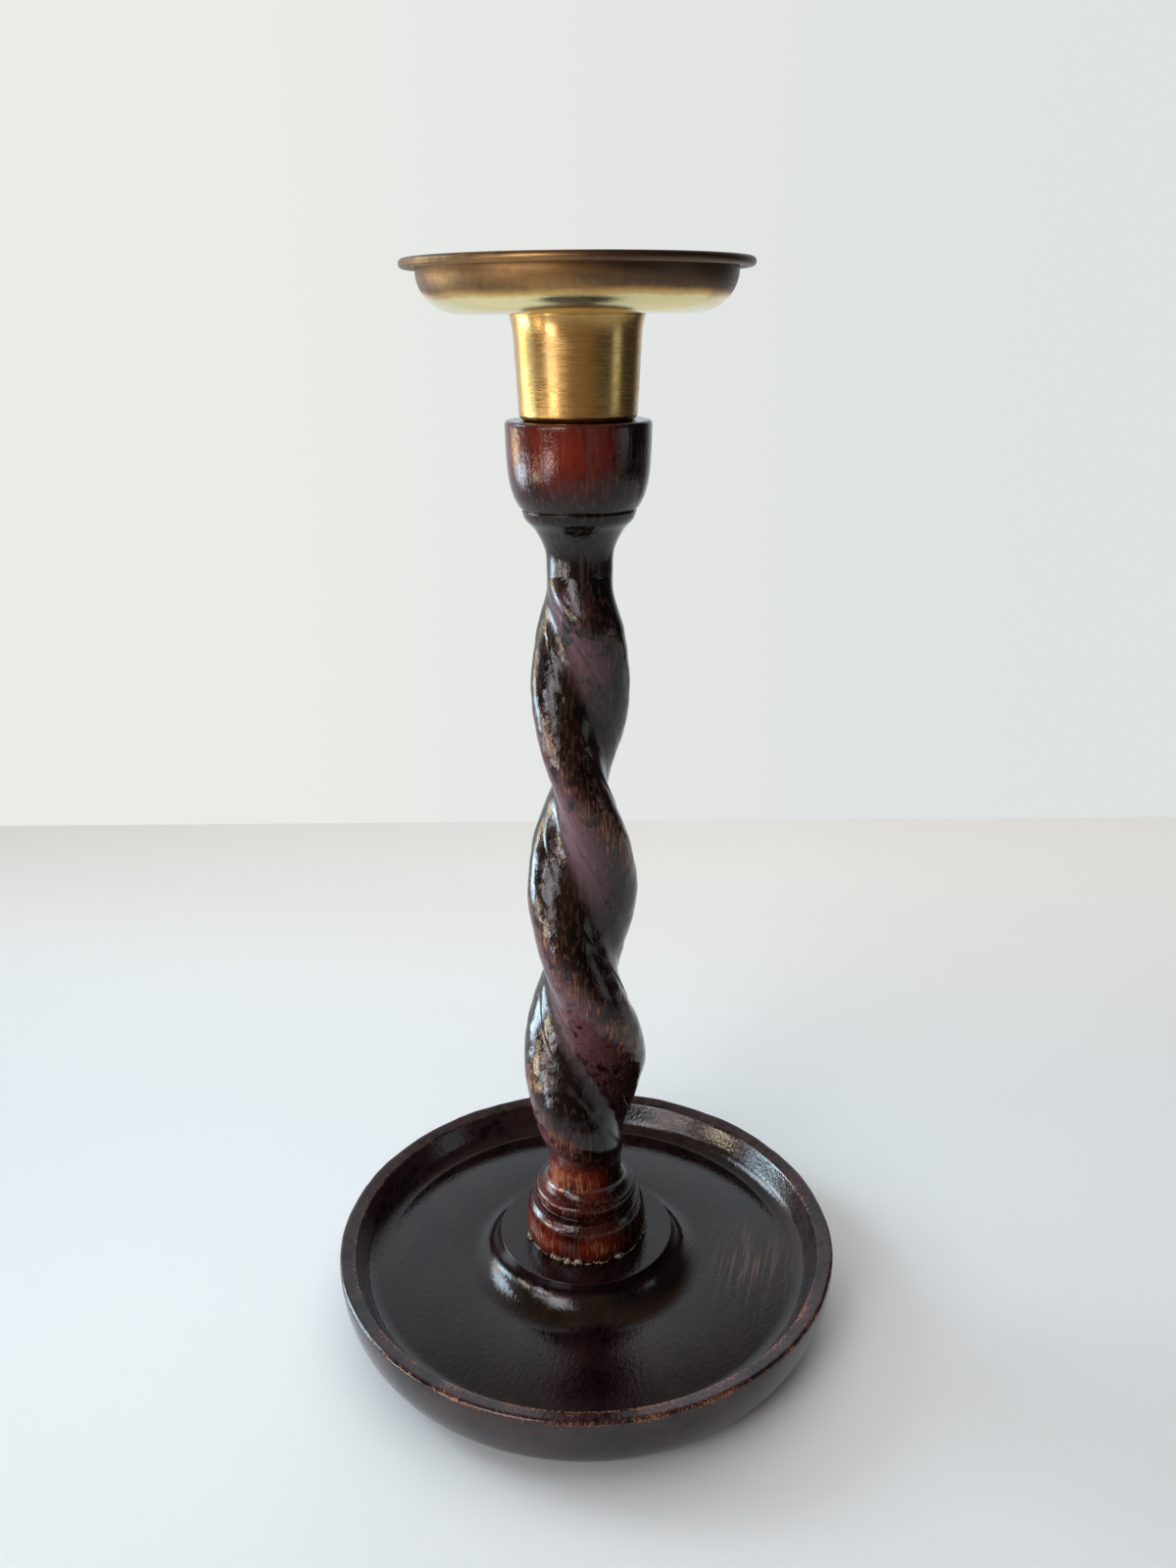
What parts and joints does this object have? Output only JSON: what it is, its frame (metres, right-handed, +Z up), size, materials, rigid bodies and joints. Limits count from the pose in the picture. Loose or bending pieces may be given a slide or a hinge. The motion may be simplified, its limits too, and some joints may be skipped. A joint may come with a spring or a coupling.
{
  "type": "candlestick",
  "caption": "Barley twist candlestick with a hollowed round dish base, an open left-hand rope stem, and a brass candle cup under a broad drip pan.",
  "frame": {"origin": "on the table, under the axis of the stem, at the middle of the dish's flat underside", "axes": "+Z up along the stem towards the candle; -Y faces the viewer; +X to the viewer's right"},
  "size_m": [0.127, 0.127, 0.2537],
  "materials": {
    "stained_oak": "dark stain under glossy worn shellac",
    "aged_brass": "lacquered, mottled with age, finely brushed round",
    "old_wax": "dull crumbs of candle wax left in a crease"
  },
  "bodies": {
    "root": {"base_dish": "stained_oak", "twist_stem": "stained_oak", "candle_cup": "aged_brass", "drip_pan": "aged_brass", "cup_screw": "aged_brass"}
  },
  "joints": []
}
